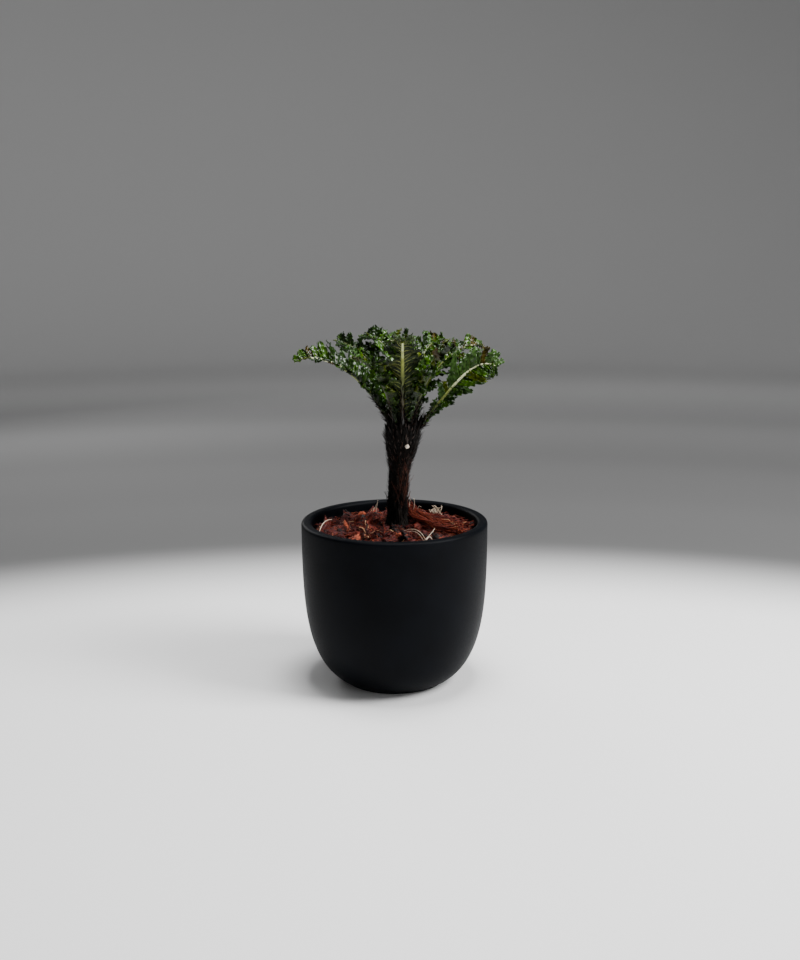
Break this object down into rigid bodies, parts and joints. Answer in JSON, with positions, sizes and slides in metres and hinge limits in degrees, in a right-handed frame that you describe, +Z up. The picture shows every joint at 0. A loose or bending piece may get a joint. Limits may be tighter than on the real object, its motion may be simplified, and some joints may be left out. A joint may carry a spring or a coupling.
{
  "type": "miniature tree fern in a pot",
  "caption": "Miniature tree fern: a short dark trunk with a crown of arching fronds, standing in husk mix in a round matt black pot.",
  "frame": {"origin": "centre of the pot's flat underside, on the surface it stands on", "axes": "+Z up along the pot's axis; -Y is the front, the side seen first; +X is to the right from the front"},
  "size_m": [0.1258, 0.12, 0.227],
  "materials": {
    "matt_black": "matte",
    "husk_mix": "matte",
    "bark": "matte",
    "frond_green": "satin",
    "rib_cream": "satin",
    "rootlet_cream": "matte"
  },
  "bodies": {
    "root": {"pot": "matt_black", "coir_mix": "husk_mix", "trunk": "bark", "frond_01": "frond_green", "frond_02": "frond_green", "frond_03": "frond_green", "frond_04": "frond_green", "frond_05": "frond_green", "frond_06": "frond_green", "frond_07": "frond_green", "frond_08": "frond_green", "frond_09": "frond_green", "frond_10": "frond_green"}
  },
  "joints": []
}
